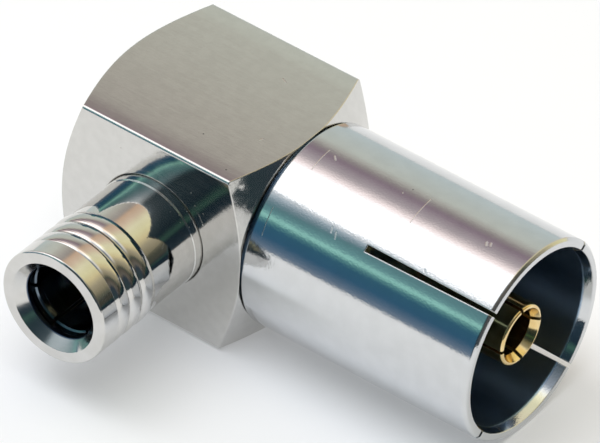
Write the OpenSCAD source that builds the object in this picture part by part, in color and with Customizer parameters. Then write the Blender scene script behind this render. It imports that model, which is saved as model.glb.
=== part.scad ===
/* [Outer sleeve] */
// Bore of the sleeve, for a 9.5 mm class plug
sleeve_bore_d = 9.3; // [9.0:0.05:9.6]
// Wall of the sleeve
sleeve_wall = 0.6; // [0.5:0.02:0.8]
// Length of the sleeve in front of the block
sleeve_reach = 13.285; // [12.0:0.005:14.5]
// Radial size of the lead-in at the mouth
lead_in = 0.17; // [0.1:0.01:0.25]
// Depth of the lead-in
lead_in_len = 0.5; // [0.3:0.05:0.8]
// Radial size of the chamfer round the outside of the mouth
mouth_chamfer = 0.14; // [0.05:0.01:0.2]
// Number of spring slots
sleeve_slots = 4; // [2:1:8]
// Width of a spring slot at its root
sleeve_slot_w = 0.36; // [0.2:0.02:0.6]
// Width of a spring slot at the mouth, where the fingers bend in
sleeve_slot_mouth_w = 0.2; // [0.1:0.01:0.4]
// Length of a spring slot
sleeve_slot_len = 7.3; // [5.0:0.1:9.0]
// Turn of the first slot from the horizontal
sleeve_slot_turn = 42; // [0:1:89]
// Thickness of the solid floor at the root of the sleeve
sleeve_floor = 2.035; // [1.4:0.005:2.5]
// Step from the sleeve's outside down to the spigot pressed into the block
spigot_step = 1.25; // [1.1:0.05:1.5]
// Length of the spigot pressed into the block
sleeve_spigot_len = 1.865; // [1.6:0.005:2.5]
// Width of the groove that the sleeve's turned rear end leaves in front of the block
rear_groove_w = 0.235; // [0.1:0.005:0.4]
// Depth of that groove
rear_groove_depth = 0.7; // [0.3:0.05:1.0]

/* [Block] */
// How far the sleeve's side stands past the bar's flats
sleeve_proud = 0.15; // [0:0.05:0.3]
// Length of a turned end cone for each millimetre of radius
cone_rise = 0.477; // [0.42:0.01:0.54]
// Width of the flat ring round the spigot, which the sleeve seats on
front_ring = 1.13; // [0.8:0.01:1.3]
// Width of the flat ring round the cap
rear_ring = 1.7; // [1.2:0.05:2.0]
// Radius of the bar's four long edges
edge_r = 0.17; // [0.05:0.01:0.3]
// Metal between the barrel's seat and the sleeve's seat
front_web = 0.38; // [0.3:0.01:1.0]
// Metal between the barrel's seat and the cap's seat
rear_web = 1.58; // [1.2:0.01:2.2]
// Width of the ledges inside that stop the sleeve's bead and the barrel
ledge_w = 0.35; // [0.25:0.01:0.45]

/* [Socket contact] */
// Bore of the four-finger centre contact
contact_bore_d = 2.4; // [2.2:0.05:2.6]
// Wall of the centre contact
contact_wall = 0.4; // [0.3:0.02:0.5]
// How far the contact sits behind the sleeve's mouth
contact_recess = 0.58; // [0.2:0.02:2.0]
// Solid web between the contact's bore and the bead
contact_web = 1.5; // [0.8:0.1:2.5]
// Number of fingers
contact_slots = 4; // [2:1:6]
// Width of the cuts between the fingers
contact_slot_w = 0.18; // [0.12:0.01:0.4]
// Uncut length of the fingers' tube in front of the web
contact_land = 1.7; // [1.0:0.1:3.0]
// Turn of the first cut from the horizontal
contact_slot_turn = 4; // [0:1:89]
// Radius round the outside of the lip
contact_lip = 0.14; // [0.05:0.01:0.16]
// Radial size of the lead-in at the contact's mouth
contact_lead_in = 0.22; // [0.1:0.01:0.24]
// Depth of that lead-in
contact_lead_len = 0.42; // [0.2:0.02:0.6]
// Diameter of the waist that runs through the insulating bead
contact_waist_d = 2; // [1.6:0.05:2.4]
// Diameter of the tail inside the block
contact_tail_d = 1.5; // [1.3:0.05:1.8]
// How far the tail runs past the barrel's axis
contact_tail_end = 1.1; // [0.8:0.05:1.4]

/* [Sleeve bead] */
// Diameter of the insulating bead
bead_d = 5.2; // [4.9:0.05:5.6]
// How far the bead stands in front of the sleeve's floor
bead_proud = 1.9; // [1.0:0.1:3.0]

/* [Snap barrel] */
// Wall of the barrel at its plain front band
barrel_wall = 0.635; // [0.5:0.005:0.8]
// From the block's face to the barrel's tip
barrel_reach = 7.59; // [7.2:0.01:8.2]
// Radius round the outside of the tip
tip_round = 0.14; // [0.05:0.01:0.2]
// Radial width of the countersink
countersink_w = 0.46; // [0.3:0.02:0.6]
// Depth of the countersink
countersink_len = 0.55; // [0.4:0.01:0.7]
// Room round the mating jack at the hole that it enters
entry_room = 0.09; // [0.03:0.01:0.15]
// From the tip to the first grip rib
band_len = 1.17; // [1.0:0.01:1.3]
// Number of rounded grip ribs
rib_count = 3; // [2:1:5]
// Spacing of the grip ribs
rib_pitch = 0.95; // [0.8:0.01:1.05]
// Depth of the valleys between the ribs
rib_depth = 0.1; // [0.04:0.01:0.15]
// Depth of the neck behind the ribs, below the front band
neck_cut = 0.115; // [0.1:0.005:0.2]
// How far the shoulder that seats in the block stands out past the neck
shoulder_step = 0.04; // [0.02:0.01:0.1]
// How far the shoulder's rim stands out of the block
shoulder_proud = 0.46; // [0.2:0.02:0.6]
// Depth of the seat cut for the shoulder in the block
shoulder_seat = 0.3; // [0.2:0.02:0.4]
// Chamfer round the seat, in the block's face
seat_chamfer = 0.05; // [0.02:0.01:0.2]
// How far the spigot reaches behind the shoulder
barrel_spigot_len = 1.5; // [1.2:0.02:1.6]
// Room inside the barrel, all round the fingers, in which they spread
finger_room = 0.18; // [0.1:0.01:0.25]
// Length of the lip behind the countersink
entry_len = 0.2; // [0.1:0.02:0.4]

/* [Spring collet] */
// From the barrel's tip to the front of the collet
collet_recess = 1.07; // [0.9:0.01:1.3]
// Inside diameter at the collet's lip
collet_lip_d = 3.7; // [3.6:0.01:3.8]
// Depth of the relief behind the lip
lip_relief = 0.12; // [0.06:0.01:0.16]
// Wall of the fingers
finger_wall = 0.23; // [0.16:0.01:0.28]
// Length of the lip
collet_lip_len = 0.4; // [0.3:0.02:0.6]
// Chamfer round the inside of the lip
collet_edge = 0.08; // [0.04:0.01:0.12]
// Number of slots
collet_slots = 6; // [4:1:8]
// Width of a slot
collet_slot_w = 0.2; // [0.12:0.01:0.4]
// Length of a slot
collet_slot_len = 4.2; // [3.0:0.1:4.6]
// Turn of the first slot from the horizontal
collet_slot_turn = 10; // [0:1:59]
// Uncut length of the fingers' tube in front of the ring
collet_land = 1.07; // [0.6:0.01:1.5]
// Step from the fingers' bore down to the bore of the solid ring
ring_step = 0.42; // [0.3:0.02:0.6]

/* [Snap contact] */
// Bore of the small centre contact
pin_bore_d = 0.52; // [0.46:0.02:0.6]
// Wall of the small centre contact
pin_wall = 0.24; // [0.2:0.01:0.3]
// How far the small contact sits behind the barrel's tip
pin_recess = 2.3; // [1.8:0.05:3.0]
// Depth of its bore
pin_bore_len = 1.8; // [1.4:0.05:2.0]
// Width of its two cuts
pin_slot_w = 0.12; // [0.08:0.01:0.2]
// Diameter of its tail
pin_tail_d = 0.7; // [0.6:0.02:0.8]
// How far the tail stands past the sleeve's axis
pin_tail_end = 0.95; // [0.8:0.05:1.2]

/* [Rear cap] */
// Diameter of the cap that closes the rear end
cap_d = 6.4; // [6.0:0.1:7.0]
// Thickness of the cap
cap_t = 1; // [0.8:0.05:1.1]
// Chamfer round the cap's outer face
cap_chamfer = 0.15; // [0.05:0.01:0.25]
// Thickness of the insulating disc behind the cap
disc_t = 0.6; // [0.4:0.05:0.9]

/* [Fits] */
// Clearance all round a pressed piece
press_gap = 0.02; // [0.01:0.005:0.04]
// Clearance all round a loose piece
loose_gap = 0.03; // [0.02:0.005:0.05]

/* [Hidden] */

// Small overrun so that cutting shapes pass through the face they cut
over = 0.5;
// Half the number of straight steps on a rounded rib or lip
arc_steps = 6;

// The collet's lip fits the mating jack, and the barrel is built up round it
finger_bore_d = collet_lip_d + 2 * lip_relief;
finger_d = finger_bore_d + 2 * finger_wall;
ring_bore_d = finger_bore_d - 2 * ring_step;
barrel_bore_d = finger_d + 2 * finger_room;
barrel_d = barrel_bore_d + 2 * barrel_wall;
neck_d = barrel_d - 2 * neck_cut;
shoulder_d = neck_d + 2 * shoulder_step;
entry_d = collet_lip_d + 2 * entry_room;
countersink_d = entry_d + 2 * countersink_w;
contact_d = contact_bore_d + 2 * contact_wall;
pin_d = pin_bore_d + 2 * pin_wall;

// Both axes lie at half the bar's height above its rest face
sleeve_d = sleeve_bore_d + 2 * sleeve_wall;
block_w = sleeve_d - 2 * sleeve_proud;
bar_r = block_w / 2;
axis_z = bar_r;
spigot_r = sleeve_d / 2 - spigot_step;
neck_seat_r = neck_d / 2 + press_gap;
cap_seat_r = cap_d / 2 + press_gap;
chamber_r = bead_d / 2 - ledge_w;
cross_r = neck_seat_r - ledge_w;

// Stations along the sleeve's axis, from the barrel's axis
ledge_x = neck_seat_r + front_web;
block_front = ledge_x + sleeve_spigot_len;
floor_x = block_front + sleeve_floor;
bead_front_x = floor_x + bead_proud;
sleeve_mouth = block_front + sleeve_reach;
contact_x = sleeve_mouth - contact_recess;
cap_back_x = -neck_seat_r - rear_web;
rear_x = cap_back_x - cap_t;
disc_front_x = cap_back_x + loose_gap + disc_t;

// The end cones run from the flat rings out to the bar's corners
corner_r = bar_r * sqrt(2);
front_r = spigot_r + press_gap + front_ring;
rear_r = cap_seat_r + rear_ring;
front_corner_x = block_front - (corner_r - front_r) * cone_rise;
rear_corner_x = rear_x + (corner_r - rear_r) * cone_rise;

// Stations along the barrel's axis, from the sleeve's axis
barrel_tip = bar_r + barrel_reach;
seat_y = bar_r - shoulder_seat;
spigot_y = seat_y - barrel_spigot_len;
rib_front_y = barrel_tip - band_len;
rib_back_y = rib_front_y - rib_count * rib_pitch;
neck_cone = (shoulder_d - neck_d) / 2;
neck_y = bar_r + shoulder_proud + neck_cone;
lip_back_y = barrel_tip - countersink_len - entry_len;
collet_y = barrel_tip - collet_recess;
collet_root_y = collet_y - collet_slot_len;
collet_ring_y = collet_root_y - collet_land;
collet_back_y = spigot_y + loose_gap;
pin_y = barrel_tip - pin_recess;

collet_ring_d = barrel_bore_d - 2 * press_gap;
small_bead_d = ring_bore_d - 2 * press_gap;
tail_hole_d = pin_tail_d + 2 * press_gap;
solder_top = contact_tail_d / 2 + loose_gap;

// Turns a profile of [radius, station] points about the sleeve's axis
module turned_x(profile, fn = 96) {
    translate([0, 0, axis_z])
        rotate([0, 90, 0])
            rotate_extrude($fn = fn)
                polygon(profile);
}

// Turns a profile of [radius, station] points about the barrel's axis
module turned_y(profile, fn = 72) {
    translate([0, 0, axis_z])
        rotate([90, 0, 0])
            rotate_extrude($fn = fn)
                polygon(profile);
}

// Radial cuts round the sleeve's axis, from one station to another
module cuts_x(count, turn, w, reach, from, to) {
    translate([0, 0, axis_z])
        for (i = [0 : count - 1])
            rotate([turn + 360 * i / count, 0, 0])
                translate([from, 0, -w / 2])
                    cube([to - from, reach, w]);
}

// Radial cuts round the sleeve's axis that narrow toward the mouth
module spring_cuts(count, turn, root_w, mouth_w, reach, root, mouth) {
    side = [[root, root_w / 2], [mouth, mouth_w / 2], [mouth + over, mouth_w / 2]];
    other = [for (i = [len(side) - 1 : -1 : 0]) [side[i][0], -side[i][1]]];
    translate([0, 0, axis_z])
        for (i = [0 : count - 1])
            rotate([turn + 360 * i / count, 0, 0])
                translate([0, reach, 0])
                    rotate([90, 0, 0])
                        linear_extrude(reach)
                            polygon(concat(side, other));
}

// Radial cuts round the barrel's axis, from one station to another
module cuts_y(count, turn, w, reach, from, to) {
    translate([0, 0, axis_z])
        for (i = [0 : count - 1])
            rotate([0, -turn - 360 * i / count, 0])
                translate([0, -to, -w / 2])
                    cube([reach, to - from, w]);
}

// Points of one rounded rib that rises from a valley and falls back to the next
function rib_points(start, pitch, r, depth) =
    [for (i = [0 : 2 * arc_steps])
        let (t = i / arc_steps - 1)
            [r - depth * pow(abs(t), 2.4), start + pitch * i / (2 * arc_steps)]];

// Points of a small quarter round, from the outside of a turned piece to its end
function round_points(r, end, size) =
    [for (i = [0 : arc_steps])
        let (a = 90 * i / arc_steps)
            [r - size + size * cos(a), end - size + size * sin(a)]];

// Section of the square bar, with a small radius on each corner
module bar_section() {
    flat = block_w - 2 * edge_r;
    square([block_w, flat], center = true);
    square([flat, block_w], center = true);
    for (side = [-1, 1], end = [-1, 1])
        translate([side * flat / 2, end * flat / 2])
            circle(edge_r, $fn = 48);
}

// Square bar with both ends turned to a cone
module bar_blank() {
    intersection() {
        translate([rear_x - over, 0, axis_z])
            rotate([90, 0, 90])
                linear_extrude(block_front - rear_x + 2 * over)
                    bar_section();
        turned_x([
            [0, rear_x], [rear_r, rear_x], [corner_r, rear_corner_x],
            [corner_r, front_corner_x], [front_r, block_front], [0, block_front]], 144);
    }
}

// Solid right-angle block, bored through for the sleeve, the chamber and the cap, and across for the barrel
module body_block() {
    sleeve_seat_r = spigot_r + press_gap;
    shoulder_seat_r = shoulder_d / 2 + press_gap;
    color("silver")
        difference() {
            bar_blank();
            turned_x([
                [0, rear_x - over], [cap_seat_r, rear_x - over],
                [cap_seat_r, cap_back_x], [chamber_r, cap_back_x],
                [chamber_r, ledge_x], [sleeve_seat_r, ledge_x],
                [sleeve_seat_r, block_front + over], [0, block_front + over]]);
            turned_y([
                [0, 0], [cross_r, 0], [cross_r, spigot_y], [neck_seat_r, spigot_y],
                [neck_seat_r, seat_y], [shoulder_seat_r, seat_y],
                [shoulder_seat_r, bar_r - seat_chamfer],
                [shoulder_seat_r + seat_chamfer + over, bar_r + over], [0, bar_r + over]]);
        }
}

// Slotted outer sleeve with a floor at its root and a spigot pressed into the block
module outer_sleeve() {
    r = sleeve_d / 2;
    bore_r = sleeve_bore_d / 2;
    bead_seat_r = bead_d / 2 + press_gap;
    color("gainsboro")
        difference() {
            turned_x([
                [bead_seat_r, ledge_x + loose_gap], [spigot_r, ledge_x + loose_gap],
                [spigot_r, block_front], [r - rear_groove_depth, block_front],
                [r - rear_groove_depth, block_front + rear_groove_w],
                [r, block_front + rear_groove_w],
                [r, sleeve_mouth - mouth_chamfer], [r - mouth_chamfer, sleeve_mouth],
                [bore_r + lead_in, sleeve_mouth], [bore_r, sleeve_mouth - lead_in_len],
                [bore_r, floor_x], [bead_seat_r, floor_x]], 144);
            spring_cuts(sleeve_slots, sleeve_slot_turn, sleeve_slot_w, sleeve_slot_mouth_w, r + over,
                sleeve_mouth - sleeve_slot_len, sleeve_mouth);
        }
}

// Insulating bead that holds the socket contact on the sleeve's axis
module sleeve_bead() {
    hole_r = contact_waist_d / 2 + press_gap;
    color("ivory")
        turned_x([
            [hole_r, ledge_x + loose_gap], [bead_d / 2, ledge_x + loose_gap],
            [bead_d / 2, bead_front_x], [hole_r, bead_front_x]], 72);
}

// Centre contact with a bored, slotted front, a waist through the bead and a drilled tail
module socket_contact() {
    r = contact_d / 2;
    bore_r = contact_bore_d / 2;
    waist_r = contact_waist_d / 2;
    tail_r = contact_tail_d / 2;
    back_x = bead_front_x + loose_gap;
    bore_back_x = back_x + contact_web + bore_r / 2;
    lip_r = min(contact_lip, 0.9 * (contact_wall - contact_lead_in));
    color("gold")
        difference() {
            turned_x(concat(
                [[0, -contact_tail_end], [tail_r, -contact_tail_end], [tail_r, ledge_x],
                    [waist_r, ledge_x], [waist_r, back_x], [r, back_x]],
                round_points(r, contact_x, lip_r),
                [[bore_r + contact_lead_in, contact_x], [bore_r, contact_x - contact_lead_len],
                    [bore_r, bore_back_x], [0, bore_back_x - bore_r / 2]]), 64);
            cuts_x(contact_slots, contact_slot_turn, contact_slot_w, r + over,
                bore_back_x + contact_land, contact_x + over);
            turned_y([[0, -tail_r - over], [tail_hole_d / 2, -tail_r - over],
                [tail_hole_d / 2, tail_r + over], [0, tail_r + over]], 32);
        }
}

// Round cap pressed into the block's rear end
module rear_cap() {
    r = cap_d / 2;
    color("silver")
        turned_x([
            [0, rear_x], [r - cap_chamfer, rear_x], [r, rear_x + cap_chamfer],
            [r, cap_back_x], [0, cap_back_x]]);
}

// Insulating disc between the cap and the centre contact's tail
module cap_disc() {
    r = chamber_r - loose_gap;
    color("ivory")
        turned_x([
            [0, cap_back_x + loose_gap], [r, cap_back_x + loose_gap],
            [r, disc_front_x], [0, disc_front_x]], 64);
}

// Turned barrel with a countersunk tip, grip ribs, a neck, a seat shoulder and a spigot
module snap_barrel() {
    r = barrel_d / 2;
    neck_r = neck_d / 2;
    shoulder_r = shoulder_d / 2;
    bore_r = barrel_bore_d / 2;
    entry_r = entry_d / 2;
    ribs = [for (i = [0 : rib_count - 1])
        each rib_points(rib_back_y + i * rib_pitch, rib_pitch, r, rib_depth)];
    color("silver")
        turned_y(concat(
            [[bore_r, spigot_y + loose_gap], [neck_r, spigot_y + loose_gap], [neck_r, seat_y],
                [shoulder_r, seat_y], [shoulder_r, bar_r + shoulder_proud], [neck_r, neck_y],
                [neck_r, rib_back_y - (neck_cut - rib_depth) / 2]],
            ribs,
            [[r, rib_front_y + rib_depth / 2]],
            round_points(r, barrel_tip, tip_round),
            [[countersink_d / 2, barrel_tip], [entry_r, barrel_tip - countersink_len],
                [entry_r, lip_back_y], [bore_r, lip_back_y]]), 96);
}

// Spring collet inside the barrel: slotted fingers on a solid ring
module spring_collet() {
    ring_r = collet_ring_d / 2;
    ring_bore_r = ring_bore_d / 2;
    finger_r = finger_d / 2;
    finger_bore_r = finger_bore_d / 2;
    lip_r = collet_lip_d / 2;
    color("silver")
        difference() {
            turned_y([
                [ring_bore_r, collet_back_y], [ring_r, collet_back_y], [ring_r, collet_ring_y],
                [finger_r, collet_ring_y], [finger_r, collet_y],
                [lip_r + collet_edge, collet_y], [lip_r, collet_y - collet_edge],
                [lip_r, collet_y - collet_lip_len],
                [finger_bore_r, collet_y - collet_lip_len - lip_relief],
                [finger_bore_r, collet_root_y], [ring_bore_r, collet_root_y]], 72);
            cuts_y(collet_slots, collet_slot_turn, collet_slot_w, finger_r + over,
                collet_root_y, collet_y + over);
        }
}

// Insulating bead that holds the small contact on the barrel's axis
module snap_bead() {
    hole_r = pin_tail_d / 2 + press_gap;
    color("ivory")
        turned_y([
            [hole_r, collet_back_y], [small_bead_d / 2, collet_back_y],
            [small_bead_d / 2, collet_root_y], [hole_r, collet_root_y]], 48);
}

// Small centre contact with a bored, split front and a long tail into the socket contact
module snap_contact() {
    r = pin_d / 2;
    bore_r = pin_bore_d / 2;
    tail_r = pin_tail_d / 2;
    back_y = collet_root_y + loose_gap;
    bore_back_y = pin_y - pin_bore_len;
    nose = (r - bore_r) / 3;
    color("gold")
        difference() {
            turned_y([
                [0, -pin_tail_end], [tail_r, -pin_tail_end], [tail_r, back_y], [r, back_y],
                [r, pin_y - nose], [r - nose, pin_y], [bore_r + nose, pin_y], [bore_r, pin_y - nose],
                [bore_r, bore_back_y], [0, bore_back_y - bore_r / 2]], 40);
            cuts_y(2, 0, pin_slot_w, r + over, pin_y - pin_bore_len + nose, pin_y + over);
        }
}

// Solder fillet round the small contact's tail where it leaves the socket contact
module solder_joint() {
    in_r = pin_tail_d / 2 + press_gap / 2;
    out_r = contact_tail_d / 2 - loose_gap;
    height = out_r - in_r;
    color("darkgray")
        turned_y(concat(
            [[in_r, solder_top], [out_r, solder_top]],
            [for (i = [1 : arc_steps])
                let (a = 90 * i / arc_steps)
                    [out_r - height * 0.86 * sin(a), solder_top + height * (1 - cos(a))]],
            [[in_r, solder_top + height]]), 40);
}

body_block();
outer_sleeve();
sleeve_bead();
socket_contact();
rear_cap();
cap_disc();
snap_barrel();
spring_collet();
snap_bead();
snap_contact();
solder_joint();
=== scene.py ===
"""Looks of a right-angle coaxial adapter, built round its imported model.

A square nickel-plated bar block carries a small snap-fit barrel and, at a right angle to it, a large slotted
sleeve round a gold centre socket. Lengths are in millimetres in the dataclasses, and in metres in Blender.
"""

import logging
import math
from dataclasses import dataclass, replace
from enum import Enum
from typing import Any, Iterable

import bpy
from mathutils import Matrix, Vector


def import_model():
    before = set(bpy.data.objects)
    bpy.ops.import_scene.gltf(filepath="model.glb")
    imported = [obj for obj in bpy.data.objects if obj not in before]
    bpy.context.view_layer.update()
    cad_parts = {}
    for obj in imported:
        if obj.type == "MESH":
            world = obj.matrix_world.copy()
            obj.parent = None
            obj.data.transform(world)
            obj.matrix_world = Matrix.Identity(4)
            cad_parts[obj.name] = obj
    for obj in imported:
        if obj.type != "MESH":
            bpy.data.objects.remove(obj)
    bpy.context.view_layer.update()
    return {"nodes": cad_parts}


MM = 0.001

# Height of the sleeve's and the barrel's axes above the rest face
AXIS_MM = 5.1
# How much rougher and deeper than the plate a scratch is
MARK_ROUGHNESS = 0.4
MARK_DEPTH_MM = 0.004

log = logging.getLogger("adapter")


def linear(colour: str) -> tuple[float, float, float, float]:
    """Turns an sRGB hex colour into the linear colour that Blender's sockets take.

    Args:
        colour: The colour as six hex digits after a hash sign.

    Returns:
        Red, green, blue and an alpha of 1, linear.
    """
    parts = [int(colour[i : i + 2], 16) / 255 for i in (1, 3, 5)]
    red, green, blue = (c / 12.92 if c <= 0.04045 else ((c + 0.055) / 1.055) ** 2.4 for c in parts)
    return red, green, blue, 1.0


def add_node(tree: bpy.types.NodeTree, kind: str, links: dict[str | int, Any] | None = None, **settings: Any):
    """Adds one shader node with its settings, its input values and its links.

    Args:
        tree: The node tree that gets the node.
        kind: The node's type after the word ShaderNode.
        links: For each input, by name or index, an output socket to link or a plain value to set.
        **settings: Properties of the node itself, such as its operation.

    Returns:
        The new node.
    """
    node = tree.nodes.new("ShaderNode" + kind)
    for name, value in settings.items():
        setattr(node, name, value)
    for key, value in (links or {}).items():
        socket = node.inputs[key]
        if isinstance(value, bpy.types.NodeSocket):
            tree.links.new(value, socket)
        else:
            socket.default_value = value
    return node


def set_ramp(node: bpy.types.Node, stops: Iterable[tuple[float, str]]) -> None:
    """Gives a Color Ramp node its stops.

    Args:
        node: The Color Ramp node.
        stops: Pairs of a position from 0 to 1 and an sRGB hex colour, in rising order.
    """
    elements = node.color_ramp.elements
    while len(elements) > 1:
        elements.remove(elements[-1])
    for index, (position, colour) in enumerate(stops):
        element = elements[0] if index == 0 else elements.new(position)
        element.position = position
        element.color = linear(colour)


def start_material(name: str) -> tuple[bpy.types.Material, bpy.types.NodeTree]:
    """Makes an empty node material.

    Args:
        name: The material's name.

    Returns:
        The material and its node tree, with no nodes in it.
    """
    material = bpy.data.materials.new(name)
    material.use_nodes = True
    material.node_tree.nodes.clear()
    return material, material.node_tree


class Grain(Enum):
    """Which way a machined surface's fine lines run: how the pattern is stretched, and what lies across its axis."""

    ALONG_X = ((0.12, 1.0, 1.0), (0.0, 1.0, 1.0))
    ROUND_X = ((1.0, 0.10, 0.10), (0.0, 1.0, 1.0))
    ROUND_Y = ((0.10, 1.0, 0.10), (1.0, 0.0, 1.0))

    @property
    def stretch(self) -> tuple[float, float, float]:
        """Gives the scale of the pattern along each axis."""
        return self.value[0]

    @property
    def across(self) -> tuple[float, float, float]:
        """Gives 1 for each direction across the axis that the lines follow or circle."""
        return self.value[1]


@dataclass(frozen=True)
class Mark:
    """A short straight scratch or, where both ends are one, a nick: its ends on the surface and its width."""

    start_mm: tuple[float, float, float]
    end_mm: tuple[float, float, float]
    width_mm: float

    def build(self, tree: bpy.types.NodeTree, in_mm: bpy.types.NodeSocket) -> bpy.types.NodeSocket:
        """Adds the mark's mask.

        Args:
            tree: The material's node tree.
            in_mm: The place on the piece, in millimetres.

        Returns:
            The mask, which is 1 along the middle of the mark and falls off to its sides.
        """
        run = Vector(self.end_mm) - Vector(self.start_mm)
        reached = add_node(tree, "VectorMath", {0: in_mm, 1: self.start_mm}, operation="SUBTRACT").outputs[0]
        if run.length > 0:
            ahead = add_node(tree, "VectorMath", {0: reached, 1: run / run.length_squared}, operation="DOT_PRODUCT")
            share = add_node(tree, "Clamp", {"Value": ahead.outputs["Value"]}).outputs[0]
            passed = add_node(tree, "VectorMath", {0: run, "Scale": share}, operation="SCALE").outputs[0]
            reached = add_node(tree, "VectorMath", {0: reached, 1: passed}, operation="SUBTRACT").outputs[0]
        away = add_node(tree, "VectorMath", {0: reached}, operation="LENGTH").outputs["Value"]
        fade = {"Value": away, "From Min": 0.2 * self.width_mm, "From Max": self.width_mm, "To Min": 1.0, "To Max": 0.0}
        return add_node(tree, "MapRange", fade).outputs[0]


@dataclass(frozen=True)
class PlatedMetal:
    """Bright metal plate over machined brass: a clear reflection, softened by the tool's lines under the plate.

    The plate follows each turned or drawn line, so a reflection's edge frays along them. A few bright scratches,
    nicks and small dark pits come from handling. The sharp edges carry a rounded line that catches the light. Inside
    a bore the plate is dull, and its colour there is painted shade: darker, and tinted.
    """

    name: str
    colour: str
    shade: str
    roughness: float
    roughness_spread: float
    grain: Grain
    grain_mm: float
    grain_height_mm: float
    skin_mm: float
    skin_height_mm: float
    cloud_mm: float
    pit_mm: float
    pit_share: float
    edge_mm: float
    marks: tuple[Mark, ...] = ()
    crown_per_mm: float = 0.0
    crown_from_mm: tuple[float, float, float] = (0.0, 0.0, 5.1)
    roll_per_mm: float = 0.0
    roll_from_mm: float = 0.0
    bore_mm: float = 0.0
    # Painted shade: the darker plate colour used inside the bore
    bore_painted_shade: str = "#808080"
    bore_roughness: float = 0.3
    countersink_mm: float = 0.0
    countersink_roughness: float = 0.15

    def build(self) -> bpy.types.Material:
        """Makes the material.

        Returns:
            The finished material.
        """
        material, tree = start_material(self.name)
        place = add_node(tree, "TexCoord").outputs["Object"]
        in_mm = add_node(tree, "VectorMath", {0: place, "Scale": 1 / MM}, operation="SCALE").outputs[0]
        from_axis = add_node(
            tree, "VectorMath", {0: in_mm, 1: (0.0, 0.0, -AXIS_MM)}, operation="ADD"
        ).outputs[0]
        across = add_node(tree, "VectorMath", {0: from_axis, 1: self.grain.across}, operation="MULTIPLY").outputs[0]
        radius = add_node(tree, "VectorMath", {0: across}, operation="LENGTH").outputs["Value"]
        grained = add_node(tree, "Mapping", {"Vector": in_mm, "Scale": self.grain.stretch}).outputs[0]
        lines = add_node(tree, "TexNoise", {"Vector": grained, "Scale": 1 / self.grain_mm, "Detail": 3.0}).outputs[0]
        marked = self.add_marks(tree, in_mm)

        colour = self.add_colour(tree, in_mm, radius)
        dullness = self.add_dullness(tree, lines, marked, radius)
        height = self.add_height(tree, in_mm, lines, marked, radius)
        edge = add_node(tree, "Bevel", {"Radius": self.edge_mm * MM}, samples=6)
        bump = add_node(
            tree, "Bump", {"Height": height, "Distance": MM, "Strength": 1.0, "Normal": edge.outputs[0]}
        )
        surface = add_node(
            tree,
            "BsdfPrincipled",
            {"Base Color": colour, "Metallic": 1.0, "Roughness": dullness, "Normal": bump.outputs[0]},
        )
        add_node(tree, "OutputMaterial", {"Surface": surface.outputs[0]})
        return material

    def add_colour(
        self, tree: bpy.types.NodeTree, in_mm: bpy.types.NodeSocket, radius: bpy.types.NodeSocket
    ) -> bpy.types.NodeSocket:
        """Adds the plate's colour: faint clouds, small dark pits and, inside a bore, painted shade that darkens and
        tints the plate.

        Args:
            tree: The material's node tree.
            in_mm: The place on the piece, in millimetres.
            radius: The distance from the piece's axis, in millimetres.

        Returns:
            The colour.
        """
        cloud = add_node(tree, "TexNoise", {"Vector": in_mm, "Scale": 1 / self.cloud_mm, "Detail": 4.0})
        tone = add_node(tree, "MapRange", {"Value": cloud.outputs[0], "From Min": 0.35, "From Max": 0.65})
        layers = {"Factor": tone.outputs[0], 6: linear(self.shade), 7: linear(self.colour)}
        colour = add_node(tree, "Mix", layers, data_type="RGBA").outputs[2]
        pits = self.add_pits(tree, in_mm)
        colour = add_node(tree, "Mix", {"Factor": pits, 6: colour, 7: linear("#3A3D40")}, data_type="RGBA").outputs[2]
        # Painted shade inside the bore: the plate's colour there is swapped for a darker, tinted one
        if self.bore_mm > 0:
            inside = self.add_inside(tree, radius, self.bore_mm)
            layers = {"Factor": inside, 6: colour, 7: linear(self.bore_painted_shade)}
            colour = add_node(tree, "Mix", layers, data_type="RGBA").outputs[2]
        return colour

    def add_dullness(
        self,
        tree: bpy.types.NodeTree,
        lines: bpy.types.NodeSocket,
        marked: bpy.types.NodeSocket | None,
        radius: bpy.types.NodeSocket,
    ) -> bpy.types.NodeSocket:
        """Adds the roughness: it varies along the tool's lines, and is higher in marks and inside a bore.

        Args:
            tree: The material's node tree.
            lines: The pattern of the tool's lines.
            marked: The mask of the marks, or None without any.
            radius: The distance from the piece's axis, in millimetres.

        Returns:
            The roughness.
        """
        spread = {"Value": lines, "From Min": 0.3, "From Max": 0.7}
        spread |= {"To Min": self.roughness - self.roughness_spread, "To Max": self.roughness + self.roughness_spread}
        dullness = add_node(tree, "MapRange", spread).outputs[0]
        if marked is not None:
            worn = {0: marked, 1: MARK_ROUGHNESS, 2: dullness}
            dullness = add_node(tree, "Math", worn, operation="MULTIPLY_ADD").outputs[0]
        for limit, inside in (
            (self.countersink_mm, self.countersink_roughness),
            (self.bore_mm, self.bore_roughness),
        ):
            if limit > 0:
                deep = {0: self.add_inside(tree, radius, limit), 2: dullness, 3: inside}
                dullness = add_node(tree, "Mix", deep, data_type="FLOAT").outputs[0]
        return dullness

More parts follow.
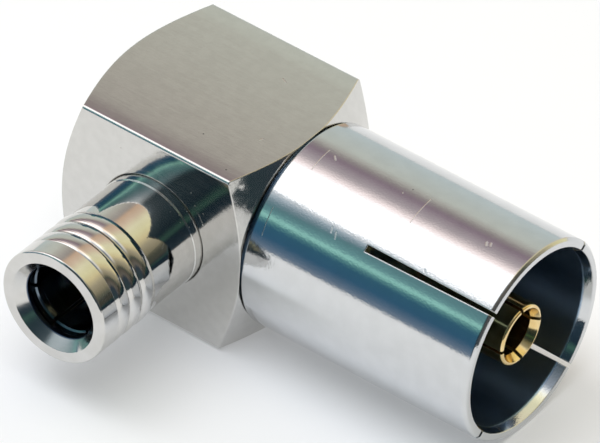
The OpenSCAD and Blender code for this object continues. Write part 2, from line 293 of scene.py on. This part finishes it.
    def add_height(
        self,
        tree: bpy.types.NodeTree,
        in_mm: bpy.types.NodeSocket,
        lines: bpy.types.NodeSocket,
        marked: bpy.types.NodeSocket | None,
        radius: bpy.types.NodeSocket,
    ) -> bpy.types.NodeSocket:
        """Adds the relief: tool lines, the plate's skin, sunk marks, and the crown and soft edges of polishing.

        Args:
            tree: The material's node tree.
            in_mm: The place on the piece, in millimetres.
            lines: The pattern of the tool's lines.
            marked: The mask of the marks, or None without any.
            radius: The distance from the piece's axis, in millimetres.

        Returns:
            The height in millimetres.
        """
        skin = add_node(tree, "TexNoise", {"Vector": in_mm, "Scale": 1 / self.skin_mm, "Detail": 2.0}).outputs[0]
        low = add_node(tree, "Math", {0: skin, 1: self.skin_height_mm}, operation="MULTIPLY").outputs[0]
        both = {0: lines, 1: self.grain_height_mm, 2: low}
        height = add_node(tree, "Math", both, operation="MULTIPLY_ADD").outputs[0]
        if marked is not None:
            cut = {0: marked, 1: -MARK_DEPTH_MM, 2: height}
            height = add_node(tree, "Math", cut, operation="MULTIPLY_ADD").outputs[0]
        if self.crown_per_mm > 0:
            centred = {0: in_mm, 1: self.crown_from_mm}
            off = add_node(tree, "VectorMath", centred, operation="SUBTRACT").outputs[0]
            flat = add_node(tree, "VectorMath", {0: off, 1: self.grain.across}, operation="MULTIPLY").outputs[0]
            squared = add_node(tree, "VectorMath", {0: flat, 1: flat}, operation="DOT_PRODUCT").outputs["Value"]
            crown = {0: squared, 1: -self.crown_per_mm, 2: height}
            height = add_node(tree, "Math", crown, operation="MULTIPLY_ADD").outputs[0]
            past = add_node(tree, "Math", {0: radius, 1: self.roll_from_mm}, operation="SUBTRACT").outputs[0]
            near = add_node(tree, "Math", {0: past, 1: 0.0}, operation="MAXIMUM").outputs[0]
            squared = add_node(tree, "Math", {0: near, 1: near}, operation="MULTIPLY").outputs[0]
            roll = {0: squared, 1: -self.roll_per_mm, 2: height}
            height = add_node(tree, "Math", roll, operation="MULTIPLY_ADD").outputs[0]
        return height

    def add_marks(
        self, tree: bpy.types.NodeTree, in_mm: bpy.types.NodeSocket
    ) -> bpy.types.NodeSocket | None:
        """Adds one mask for all the marks.

        Args:
            tree: The material's node tree.
            in_mm: The place on the piece, in millimetres.

        Returns:
            The mask, or None where there are no marks.
        """
        joined = None
        for mark in self.marks:
            mask = mark.build(tree, in_mm)
            if joined is None:
                joined = mask
            else:
                joined = add_node(tree, "Math", {0: joined, 1: mask}, operation="MAXIMUM").outputs[0]
        return joined

    def add_inside(
        self, tree: bpy.types.NodeTree, radius: bpy.types.NodeSocket, limit_mm: float
    ) -> bpy.types.NodeSocket:
        """Adds the mask of what lies inside a radius, such as a bore.

        Args:
            tree: The material's node tree.
            radius: The distance from the piece's axis, in millimetres.
            limit_mm: The radius, in millimetres.

        Returns:
            The mask, which is 1 inside.
        """
        limits = {"Value": radius, "From Min": limit_mm, "From Max": limit_mm + 0.03}
        return add_node(tree, "MapRange", limits | {"To Min": 1.0, "To Max": 0.0}).outputs[0]

    def add_pits(self, tree: bpy.types.NodeTree, in_mm: bpy.types.NodeSocket) -> bpy.types.NodeSocket:
        """Adds a mask of small pits, one in the middle of some random cells.

        Args:
            tree: The material's node tree.
            in_mm: The place on the piece, in millimetres.

        Returns:
            The mask, which is 1 in a pit.
        """
        cells = add_node(tree, "TexVoronoi", {"Vector": in_mm, "Scale": 1 / self.pit_mm, "Randomness": 1.0})
        fade = {"Value": cells.outputs["Distance"], "From Min": 0.02, "From Max": 0.05, "To Min": 1.0, "To Max": 0.0}
        dot = add_node(tree, "MapRange", fade).outputs[0]
        pick = add_node(tree, "SeparateColor", {0: cells.outputs["Color"]}).outputs[0]
        few = add_node(tree, "Math", {0: pick, 1: 1 - self.pit_share}, operation="GREATER_THAN").outputs[0]
        return add_node(tree, "Math", {0: dot, 1: few}, operation="MULTIPLY").outputs[0]


@dataclass(frozen=True)
class WaxyPlastic:
    """Machined fluoroplastic: milky white, soft sheen, with faint tool lines."""

    name: str
    colour: str
    shade: str
    roughness: float

    def build(self) -> bpy.types.Material:
        """Makes the material.

        Returns:
            The finished material.
        """
        material, tree = start_material(self.name)
        place = add_node(tree, "TexCoord").outputs["Object"]
        in_mm = add_node(tree, "VectorMath", {0: place, "Scale": 1 / MM}, operation="SCALE").outputs[0]
        cloud = add_node(tree, "TexNoise", {"Vector": in_mm, "Scale": 1.6, "Detail": 4.0})
        tone = add_node(
            tree,
            "Mix",
            {"Factor": cloud.outputs[0], 6: linear(self.shade), 7: linear(self.colour)},
            data_type="RGBA",
        )
        lines = add_node(tree, "TexNoise", {"Vector": in_mm, "Scale": 14.0, "Detail": 2.0})
        bump = add_node(tree, "Bump", {"Height": lines.outputs[0], "Distance": 0.01 * MM, "Strength": 0.6})
        surface = add_node(
            tree,
            "BsdfPrincipled",
            {
                "Base Color": tone.outputs[2],
                "Roughness": self.roughness,
                "IOR": 1.35,
                "Subsurface Weight": 0.2,
                "Subsurface Scale": 0.4 * MM,
                "Normal": bump.outputs[0],
            },
        )
        add_node(tree, "OutputMaterial", {"Surface": surface.outputs[0]})
        return material


# Nickel plate over drawn brass bar: satin, warm grey, its faces slightly crowned by polishing
BLOCK_NICKEL = PlatedMetal(
    name="satin_nickel_plate",
    colour="#D4D3D0",
    shade="#CFCECB",
    roughness=0.10,
    roughness_spread=0.03,
    grain=Grain.ALONG_X,
    grain_mm=0.22,
    grain_height_mm=0.0020,
    skin_mm=0.12,
    skin_height_mm=0.0012,
    cloud_mm=0.5,
    pit_mm=1.2,
    pit_share=0.06,
    edge_mm=0.08,
    marks=(
        Mark((2.11, -5.10, 8.44), (2.11, -5.10, 8.44), 0.07),
        Mark((2.38, -5.10, 7.79), (2.38, -5.10, 7.79), 0.06),
        Mark((2.87, -5.10, 7.57), (2.87, -5.10, 7.57), 0.06),
        Mark((2.05, -5.10, 7.30), (2.05, -5.10, 7.30), 0.05),
        Mark((2.90, -5.10, 6.90), (2.90, -5.10, 6.90), 0.05),
        Mark((-2.07, -5.10, 8.93), (-2.07, -5.10, 8.93), 0.05),
        Mark((1.50, 2.67, 10.20), (1.75, 2.55, 10.20), 0.06),
        Mark((3.43, -1.64, 10.20), (3.50, -1.50, 10.20), 0.05),
    ),
    crown_per_mm=0.003,
    crown_from_mm=(0.0, -2.0, 5.1),
    roll_per_mm=0.05,
    roll_from_mm=6.35,
    bore_mm=3.0,
    # Painted shade inside the bore: a darker grey plate colour
    bore_painted_shade="#656B72",
)
# The same plate on the turned cap: unmarked, and with no painted bore shade, so bright to its middle
CAP_NICKEL = replace(BLOCK_NICKEL, name="satin_nickel_plate_cap", grain_mm=0.3, marks=(), bore_mm=0.0)
# Nickel plate over turned brass tube: bright, its reflections frayed round the tube, with light handling marks
SLEEVE_NICKEL = PlatedMetal(
    name="bright_nickel_plate_tube",
    colour="#D3D5D7",
    shade="#CED0D2",
    roughness=0.075,
    roughness_spread=0.025,
    grain=Grain.ROUND_X,
    grain_mm=0.14,
    grain_height_mm=0.0010,
    skin_mm=0.10,
    skin_height_mm=0.0024,
    cloud_mm=1.0,
    pit_mm=1.6,
    pit_share=0.05,
    edge_mm=0.09,
    marks=(
        Mark((6.50, -1.64, 10.09), (6.48, -0.95, 10.26), 0.035),
        Mark((6.48, -0.95, 10.26), (6.47, -0.24, 10.34), 0.035),
        Mark((12.31, -1.72, 10.06), (12.28, -0.91, 10.27), 0.035),
        Mark((12.28, -0.91, 10.27), (12.25, -0.07, 10.35), 0.035),
        Mark((6.91, -0.42, 10.33), (7.10, -0.62, 10.31), 0.07),
        Mark((9.10, -3.40, 9.08), (9.17, -3.60, 8.95), 0.07),
        Mark((9.40, -3.50, 9.01), (9.50, -3.72, 8.80), 0.06),
        Mark((14.34, -3.24, 9.23), (14.44, -3.34, 9.13), 0.08),
        Mark((16.05, -0.82, 10.29), (16.15, -0.98, 10.26), 0.10),
        Mark((16.26, -0.76, 10.29), (16.32, -0.90, 10.27), 0.09),
        Mark((10.95, -0.51, 10.32), (10.95, -0.51, 10.32), 0.05),
        Mark((5.90, -3.75, 8.77), (5.92, -4.20, 8.26), 0.03),
        Mark((5.92, -4.20, 8.26), (5.95, -4.60, 7.63), 0.03),
    ),
    bore_mm=4.66,
    # Painted shade inside the mouth: a darker, blue-tinted plate colour
    bore_painted_shade="#98B1CA",
    bore_roughness=0.30,
)
# Nickel plate over a turned brass barrel: mirror bright, with fine turning lines round it
BARREL_NICKEL = PlatedMetal(
    name="bright_nickel_plate_barrel",
    colour="#D5D4D2",
    shade="#CDCCC9",
    roughness=0.055,
    roughness_spread=0.02,
    grain=Grain.ROUND_Y,
    grain_mm=0.09,
    grain_height_mm=0.0006,
    skin_mm=0.14,
    skin_height_mm=0.0006,
    cloud_mm=1.0,
    pit_mm=1.6,
    pit_share=0.04,
    edge_mm=0.03,
    bore_mm=1.96,
    countersink_mm=2.38,
    countersink_roughness=0.17,
    # Painted shade inside the bore: a dark blue-grey plate colour
    bore_painted_shade="#526076",
)
# Nickel plate over sprung bronze fingers: duller than the barrel round it, with a darker blue-grey colour that is
# painted shade inside the barrel's bore
COLLET_NICKEL = PlatedMetal(
    name="dull_nickel_plate_spring",
    colour="#707C88",
    shade="#616C77",
    roughness=0.16,
    roughness_spread=0.04,
    grain=Grain.ROUND_Y,
    grain_mm=0.10,
    grain_height_mm=0.0006,
    skin_mm=0.2,
    skin_height_mm=0.0008,
    cloud_mm=0.8,
    pit_mm=1.6,
    pit_share=0.02,
    edge_mm=0.03,
)
# Gold plate over sprung bronze: pale yellow, bright on the rounded lips, with fine turning lines
CONTACT_GOLD = PlatedMetal(
    name="gold_plate",
    colour="#EFD8A4",
    shade="#DDBF82",
    roughness=0.15,
    roughness_spread=0.04,
    grain=Grain.ROUND_X,
    grain_mm=0.10,
    grain_height_mm=0.0006,
    skin_mm=0.15,
    skin_height_mm=0.001,
    cloud_mm=0.8,
    pit_mm=1.2,
    pit_share=0.04,
    edge_mm=0.03,
    bore_mm=1.18,
    # Painted shade inside the socket: a dark maroon-brown plate colour
    bore_painted_shade="#563935",
)
# Tin solder: greyer and softer than the plate, with a lumpy frozen skin
SOLDER = PlatedMetal(
    name="tin_solder",
    colour="#BABBBD",
    shade="#A1A3A6",
    roughness=0.28,
    roughness_spread=0.08,
    grain=Grain.ALONG_X,
    grain_mm=0.2,
    grain_height_mm=0.004,
    skin_mm=0.2,
    skin_height_mm=0.004,
    cloud_mm=0.5,
    pit_mm=1.0,
    pit_share=0.05,
    edge_mm=0.03,
)
# Fluoroplastic: milky and waxy, a little translucent at its edges
BEAD_PLASTIC = WaxyPlastic(name="waxy_fluoroplastic", colour="#F1EFE8", shade="#E2DFD5", roughness=0.38)


# What the sleeve mirrors, by the angle round its axis: 0 is level behind it, 90 overhead, 180 level in front
ROOM_ROUND_THE_SLEEVE = (
    (-180, "#808FA0"),
    (-172, "#C2CBD0"),
    (-165, "#EBEEED"),
    (-90, "#F1F3F7"),
    (-40, "#FFFFFF"),
    (-15, "#E7F3F5"),
    (2, "#D2DDDC"),
    (38, "#D8DBD0"),
    (45, "#C7C3B9"),
    (51, "#A69C99"),
    (57, "#9A8691"),
    (70, "#C6B9BB"),
    (80, "#FFEDE9"),
    (87, "#FFFFFF"),
    (119, "#FFFFFF"),
    (125, "#C7D4DC"),
    (131, "#859EA7"),
    (137, "#648D92"),
    (143, "#75A7A8"),
    (147, "#B0EFE0"),
    (151, "#649B9B"),
    (156, "#3A6980"),
    (167, "#3A6582"),
    (174, "#617A91"),
    (179, "#808FA0"),
)
# What the barrel mirrors, from left to right behind it: tan wall, warm window, olive, then a dark room
WINDOW_ACROSS = (
    (-0.40, "#B1AFA6"),
    (-0.26, "#E0C1A6"),
    (-0.08, "#EFD7BD"),
    (0.12, "#FFF9D2"),
    (0.32, "#FFF8C7"),
    (0.47, "#EFE0AE"),
    (0.60, "#B9AF93"),
    (0.70, "#999178"),
    (0.76, "#595E53"),
    (0.80, "#5F5A50"),
    (0.88, "#706B63"),
    (0.93, "#3C4650"),
    (1.00, "#394A4F"),
)
# The dark half of the room in front of the part and to its right, by the angle round the sleeve's axis
ROOM_IN_FRONT = (
    (-180, "#334450"),
    (-172, "#5F6B76"),
    (-160, "#939BA4"),
    (100, "#939BA4"),
    (128, "#3C4C53"),
    (140, "#243541"),
    (148, "#486D61"),
    (154, "#243541"),
    (179, "#334450"),
)
# How much more than white the softbox shines
SOFTBOX_GLOW = 1.0
# The floor's own colour, and how much of its look is plain white, which keeps its shadow faint
FLOOR_COLOUR = "#E8EAEE"
FLOOR_WHITE = 0.25


@dataclass(frozen=True)
class Band:
    """A soft-edged band of directions: none before the first pair of values, full between, none after the last."""

    axis: str
    rise: tuple[float, float]
    fall: tuple[float, float] = (2.0, 3.0)

    def build(self, tree: bpy.types.NodeTree, parts: bpy.types.Node) -> bpy.types.NodeSocket:
        """Adds the band's mask.

        Args:
            tree: The world's node tree.
            parts: The Separate XYZ node of the direction.

        Returns:
            The mask, from 0 outside to 1 inside.
        """
        masks = []
        for (low, high), (start, end) in ((self.rise, (0.0, 1.0)), (self.fall, (1.0, 0.0))):
            values = {"Value": parts.outputs[self.axis], "From Min": low, "From Max": high}
            values |= {"To Min": start, "To Max": end}
            masks.append(add_node(tree, "MapRange", values, interpolation_type="SMOOTHSTEP").outputs[0])
        return add_node(tree, "Math", {0: masks[0], 1: masks[1]}, operation="MULTIPLY").outputs[0]


# Where each part of the studio stands, as seen from the part
WINDOW_PLACE = (Band("X", (-0.40, -0.22)), Band("Y", (-0.10, 0.20)))
FRONT_PLACE = (Band("X", (-0.36, -0.14)), Band("Y", (-3.0, -2.0), (-0.16, 0.02)))
RIGHT_PLACE = (Band("X", (0.45, 0.70)), Band("Y", (-0.55, -0.35)))
SOFTBOX_SIDE = Band("X", (-3.0, -2.0), (0.05, 0.30))


@dataclass(frozen=True)
class Studio:
    """The camera, the lamps, the surroundings that the metal mirrors and the pale floor."""

    azimuth: float = 34.855
    elevation: float = 39.708
    roll: float = 3.661
    distance_mm: float = 515.38
    focal_mm: float = 655.77
    sensor_mm: float = 36.0
    target_mm: tuple[float, float, float] = (4.957, -0.1345, 5.1)
    floor_radius_mm: float = 600.0
    floor_gap_mm: float = 0.16
    softbox_mm: tuple[float, float] = (500.0, 300.0)
    softbox_place_mm: tuple[float, float, float] = (-40.0, -90.0, 400.0)
    softbox_watts: float = 1.3

    def build_camera(self) -> None:
        """Places the camera at the photograph's viewing angle."""
        around, up_angle, turn = (math.radians(a) for a in (self.azimuth, self.elevation, self.roll))
        back = Vector(
            (math.sin(around) * math.cos(up_angle), -math.cos(around) * math.cos(up_angle), math.sin(up_angle))
        )
        right = Vector((math.cos(around), math.sin(around), 0.0))
        up = back.cross(right)
        right_rolled = math.cos(turn) * right + math.sin(turn) * up
        up_rolled = -math.sin(turn) * right + math.cos(turn) * up
        data = bpy.data.cameras.new("camera")
        data.sensor_width = self.sensor_mm
        data.lens = self.focal_mm
        data.clip_start = 0.01
        data.clip_end = 20.0
        camera = bpy.data.objects.new("camera", data)
        bpy.context.scene.collection.objects.link(camera)
        turned = Matrix((right_rolled, up_rolled, back)).transposed().to_4x4()
        place = (Vector(self.target_mm) + self.distance_mm * back) * MM
        camera.matrix_world = Matrix.Translation(place) @ turned
        bpy.context.scene.camera = camera

    def build_world(self) -> None:
        """Makes the studio's surroundings: the soft room that the metal mirrors."""
        world = bpy.data.worlds.new("studio")
        bpy.context.scene.world = world
        world.use_nodes = True
        tree = world.node_tree
        tree.nodes.clear()
        direction = add_node(tree, "TexCoord").outputs["Generated"]
        parts = add_node(tree, "SeparateXYZ", {0: direction})
        angle = add_node(tree, "Math", {0: parts.outputs["Z"], 1: parts.outputs["Y"]}, operation="ARCTAN2")
        turn = add_node(
            tree,
            "MapRange",
            {"Value": angle.outputs[0], "From Min": -math.pi, "From Max": math.pi, "To Min": 0.0, "To Max": 1.0},
        )
        room = add_node(tree, "ValToRGB", {0: turn.outputs[0]})
        set_ramp(room, [((degrees + 180) / 360, colour) for degrees, colour in ROOM_ROUND_THE_SLEEVE])
        side = add_node(
            tree,
            "MapRange",
            {"Value": parts.outputs["X"], "From Min": -1.0, "From Max": 1.0, "To Min": 0.0, "To Max": 1.0},
        )
        window = add_node(tree, "ValToRGB", {0: side.outputs[0]})
        set_ramp(window, [((across + 1) / 2, colour) for across, colour in WINDOW_ACROSS])
        front = add_node(tree, "ValToRGB", {0: turn.outputs[0]})
        set_ramp(front, [((degrees + 180) / 360, colour) for degrees, colour in ROOM_IN_FRONT])
        mirrored = room.outputs[0]
        for colour, place in ((window, WINDOW_PLACE), (front, FRONT_PLACE), (window, RIGHT_PLACE)):
            masks = [band.build(tree, parts) for band in place]
            inside = add_node(tree, "Math", {0: masks[0], 1: masks[1]}, operation="MULTIPLY")
            layered = add_node(
                tree, "Mix", {"Factor": inside.outputs[0], 6: mirrored, 7: colour.outputs[0]}, data_type="RGBA"
            )
            mirrored = layered.outputs[2]
        rise = add_node(
            tree,
            "MapRange",
            {"Value": angle.outputs[0], "From Min": math.radians(70), "From Max": math.radians(92)},
            interpolation_type="SMOOTHSTEP",
        )
        fall = add_node(
            tree,
            "MapRange",
            {
                "Value": angle.outputs[0],
                "From Min": math.radians(118),
                "From Max": math.radians(122),
                "To Min": SOFTBOX_GLOW,
                "To Max": 0.0,
            },
            interpolation_type="SMOOTHSTEP",
        )
        side_part = SOFTBOX_SIDE.build(tree, parts)
        aside = add_node(tree, "Math", {0: fall.outputs[0], 1: side_part}, operation="MULTIPLY")
        glow = add_node(
            tree, "Math", {0: rise.outputs[0], 1: aside.outputs[0], 2: 1.0}, operation="MULTIPLY_ADD"
        )
        background = add_node(tree, "Background", {"Color": mirrored, "Strength": glow.outputs[0]})
        add_node(tree, "OutputWorld", {"Surface": background.outputs[0]})

    def build_lamps(self) -> None:
        """Hangs one large soft lamp over the part."""
        data = bpy.data.lights.new("softbox", type="AREA")
        data.shape = "RECTANGLE"
        data.size = self.softbox_mm[0] * MM
        data.size_y = self.softbox_mm[1] * MM
        data.energy = self.softbox_watts
        lamp = bpy.data.objects.new("softbox", data)
        lamp.location = Vector(self.softbox_place_mm) * MM
        lamp.rotation_euler = (Vector(self.target_mm) * MM - lamp.location).to_track_quat("-Z", "Y").to_euler()
        lamp.visible_glossy = False
        bpy.context.scene.collection.objects.link(lamp)

    def build_floor(self) -> None:
        """Lays a pale round floor just under the part's lowest point: white in the picture and in the metal alike."""
        bpy.ops.mesh.primitive_circle_add(
            vertices=128,
            radius=self.floor_radius_mm * MM,
            fill_type="NGON",
            location=(0.0, 0.0, -self.floor_gap_mm * MM),
        )
        floor = bpy.context.object
        floor.name = "floor"
        material, tree = start_material("pale_floor")
        rays = add_node(tree, "LightPath")
        plain = add_node(tree, "BsdfDiffuse", {"Color": linear(FLOOR_COLOUR)})
        white = add_node(tree, "Emission", {"Color": (1.0, 1.0, 1.0, 1.0), "Strength": 1.0})
        seen = rays.outputs["Is Camera Ray"]
        for kind in ("Is Glossy Ray", "Is Transmission Ray"):
            seen = add_node(tree, "Math", {0: seen, 1: rays.outputs[kind]}, operation="MAXIMUM").outputs[0]
        share = add_node(tree, "Math", {0: seen, 1: FLOOR_WHITE}, operation="MULTIPLY")
        mixed = add_node(tree, "MixShader", {0: share.outputs[0], 1: plain.outputs[0], 2: white.outputs[0]})
        add_node(tree, "OutputMaterial", {"Surface": mixed.outputs[0]})
        floor.data.materials.append(material)


@dataclass
class Finishes:
    """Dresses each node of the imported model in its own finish."""

    nodes: dict[str, bpy.types.Object]

    def dress(self) -> None:
        """Gives every node its material."""
        gold = CONTACT_GOLD.build()
        plastic = BEAD_PLASTIC.build()
        finish_of = {
            "body_block": BLOCK_NICKEL.build(),
            "rear_cap": CAP_NICKEL.build(),
            "outer_sleeve": SLEEVE_NICKEL.build(),
            "snap_barrel": BARREL_NICKEL.build(),
            "spring_collet": COLLET_NICKEL.build(),
            "socket_contact": gold,
            "snap_contact": gold,
            "sleeve_bead": plastic,
            "snap_bead": plastic,
            "cap_disc": plastic,
            "solder_joint": SOLDER.build(),
        }
        for name, material in finish_of.items():
            slots = self.nodes[name].material_slots
            for slot in slots:
                slot.material = material
            log.info("dressed %s in %s", name, material.name)


def main() -> None:
    """Builds the studio and the part's looks."""
    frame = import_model()
    bpy.context.scene.view_settings.view_transform = "Standard"
    studio = Studio()
    studio.build_camera()
    studio.build_world()
    studio.build_lamps()
    studio.build_floor()
    Finishes(frame["nodes"]).dress()


if __name__ == "__main__":
    logging.basicConfig(level=logging.INFO)
    main()
